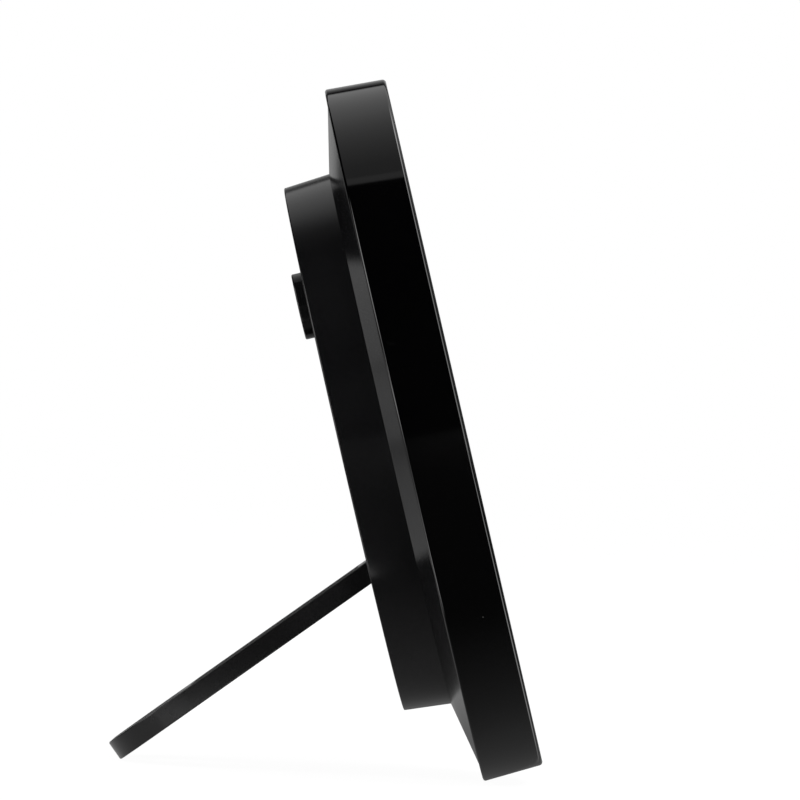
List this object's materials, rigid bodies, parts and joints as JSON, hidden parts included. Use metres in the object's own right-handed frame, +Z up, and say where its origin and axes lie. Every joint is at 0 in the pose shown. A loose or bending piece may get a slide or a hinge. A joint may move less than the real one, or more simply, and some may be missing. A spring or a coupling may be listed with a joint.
{
  "type": "radio-controlled wall clock",
  "caption": "Round analogue clock with a gloss black ring case, a coned rear case, a keyhole boss for hanging and a fold-out stand for a table.",
  "frame": {"origin": "centre of the bounding box on the table top that the clock stands on, with its stand open", "axes": "+Z up, -Y the way the dial faces, +X to the right of someone who reads the dial"},
  "size_m": [0.2518, 0.1536, 0.246],
  "materials": {
    "gloss_case": "polished piano black",
    "satin_case": "fine satin black",
    "lens_glass": "clear polished",
    "dial_face": "matte print",
    "hand_black": "satin black lacquer",
    "hand_red": "satin red lacquer",
    "movement_plastic": "moulded",
    "gear_plastic": "moulded acetal",
    "magnet": "sintered",
    "steel": "zinc plated",
    "brass": "turned",
    "copper_wire": "enamelled copper",
    "battery_jacket": "printed jacket",
    "circuit_board": "solder mask",
    "button_rubber": "matte",
    "switch_plastic": "moulded",
    "ferrite": "sintered",
    "lead_red": "smooth sleeve",
    "lead_black": "smooth sleeve",
    "lead_grey": "smooth ribbon"
  },
  "bodies": {
    "case": {"front_case": "gloss_case", "lens": "lens_glass", "dial_spacer": "satin_case", "dial": "dial_face", "dial_washer": "steel", "dial_nut": "brass", "movement_case": "movement_plastic", "movement_cover": "movement_plastic", "minute_stator": "steel", "second_stator": "steel", "minute_coil": "copper_wire", "second_coil": "copper_wire", "rear_case": "satin_case", "hanger_plate": "steel", "stand_pin_left": "steel", "stand_pin_right": "steel", "battery": "battery_jacket", "battery_contact_positive": "steel", "battery_contact_negative": "steel", "receiver_board": "circuit_board", "board_screw_1": "steel", "board_screw_2": "steel", "set_switch": "switch_plastic", "receive_switch": "switch_plastic", "reset_switch": "switch_plastic", "ferrite_rod": "ferrite", "aerial_coil": "copper_wire", "battery_lead_positive": "lead_red", "battery_lead_negative": "lead_black", "aerial_lead": "copper_wire", "motor_lead": "lead_grey"},
    "stand": {"stand": "satin_case"},
    "battery_cover": {"battery_cover": "satin_case"},
    "set_button": {"set_button": "button_rubber"},
    "receive_button": {"receive_button": "button_rubber"},
    "reset_button": {"reset_button": "button_rubber"},
    "hour_works": {"hour_hand": "hand_black", "hour_wheel": "gear_plastic"},
    "minute_works": {"minute_hand": "hand_black", "minute_wheel": "gear_plastic"},
    "second_works": {"second_hand": "hand_red", "second_wheel": "gear_plastic"},
    "motion_works": {"motion_wheel": "gear_plastic"},
    "minute_intermediate": {"minute_intermediate_wheel": "gear_plastic"},
    "minute_motor": {"minute_rotor": "magnet"},
    "second_intermediate": {"second_intermediate_wheel": "gear_plastic"},
    "second_motor": {"second_rotor": "magnet"}
  },
  "joints": [
    {"name": "stand_hinge", "type": "hinge", "parent": "case", "child": "stand", "pos_m": [0, -0.0151, 0.07463], "axis": [1, 0, 0], "range_deg": [0, 112.2]},
    {"name": "battery_cover_slide", "type": "slide", "parent": "case", "child": "battery_cover", "axis": [0, 0.9588, -0.284], "range_m": [0, 0.03]},
    {"name": "set_button_press", "type": "slide", "parent": "case", "child": "set_button", "axis": [0, -0.9588, 0.284], "range_m": [0, 0.0007], "stiffness_N_per_m": 1500},
    {"name": "receive_button_press", "type": "slide", "parent": "case", "child": "receive_button", "axis": [0, -0.9588, 0.284], "range_m": [0, 0.0007], "stiffness_N_per_m": 1500},
    {"name": "reset_button_press", "type": "slide", "parent": "case", "child": "reset_button", "axis": [0, -0.9588, 0.284], "range_m": [0, 0.0007], "stiffness_N_per_m": 1500},
    {"name": "minute_spin", "type": "hinge", "parent": "case", "child": "minute_works", "pos_m": [0, -0.04158, 0.12659], "axis": [0, 0.9588, -0.284], "continuous": true},
    {"name": "hour_spin", "type": "hinge", "parent": "case", "child": "hour_works", "pos_m": [0, -0.04158, 0.12659], "axis": [0, 0.9588, -0.284], "continuous": true},
    {"name": "motion_spin", "type": "hinge", "parent": "case", "child": "motion_works", "pos_m": [0, -0.0148, 0.13124], "axis": [0, 0.9588, -0.284], "continuous": true},
    {"name": "minute_intermediate_spin", "type": "hinge", "parent": "case", "child": "minute_intermediate", "pos_m": [0.01044, -0.01652, 0.12546], "axis": [0, 0.9588, -0.284], "continuous": true},
    {"name": "minute_rotor_spin", "type": "hinge", "parent": "case", "child": "minute_motor", "pos_m": [0.01768, -0.01897, 0.11719], "axis": [0, 0.9588, -0.284], "continuous": true},
    {"name": "second_spin", "type": "hinge", "parent": "case", "child": "second_works", "pos_m": [0, -0.04158, 0.12659], "axis": [0, 0.9588, -0.284], "continuous": true},
    {"name": "second_intermediate_spin", "type": "hinge", "parent": "case", "child": "second_intermediate", "pos_m": [-0.01044, -0.01652, 0.12546], "axis": [0, 0.9588, -0.284], "continuous": true},
    {"name": "second_rotor_spin", "type": "hinge", "parent": "case", "child": "second_motor", "pos_m": [-0.01768, -0.01897, 0.11719], "axis": [0, 0.9588, -0.284], "continuous": true}
  ],
  "couplings": [
    {"joint": "hour_spin", "follows": "minute_spin", "ratio": 0.083333},
    {"joint": "motion_spin", "follows": "minute_spin", "ratio": -0.33333},
    {"joint": "minute_intermediate_spin", "follows": "minute_spin", "ratio": -5},
    {"joint": "minute_rotor_spin", "follows": "minute_spin", "ratio": 30},
    {"joint": "second_intermediate_spin", "follows": "second_spin", "ratio": -5},
    {"joint": "second_rotor_spin", "follows": "second_spin", "ratio": 30}
  ]
}
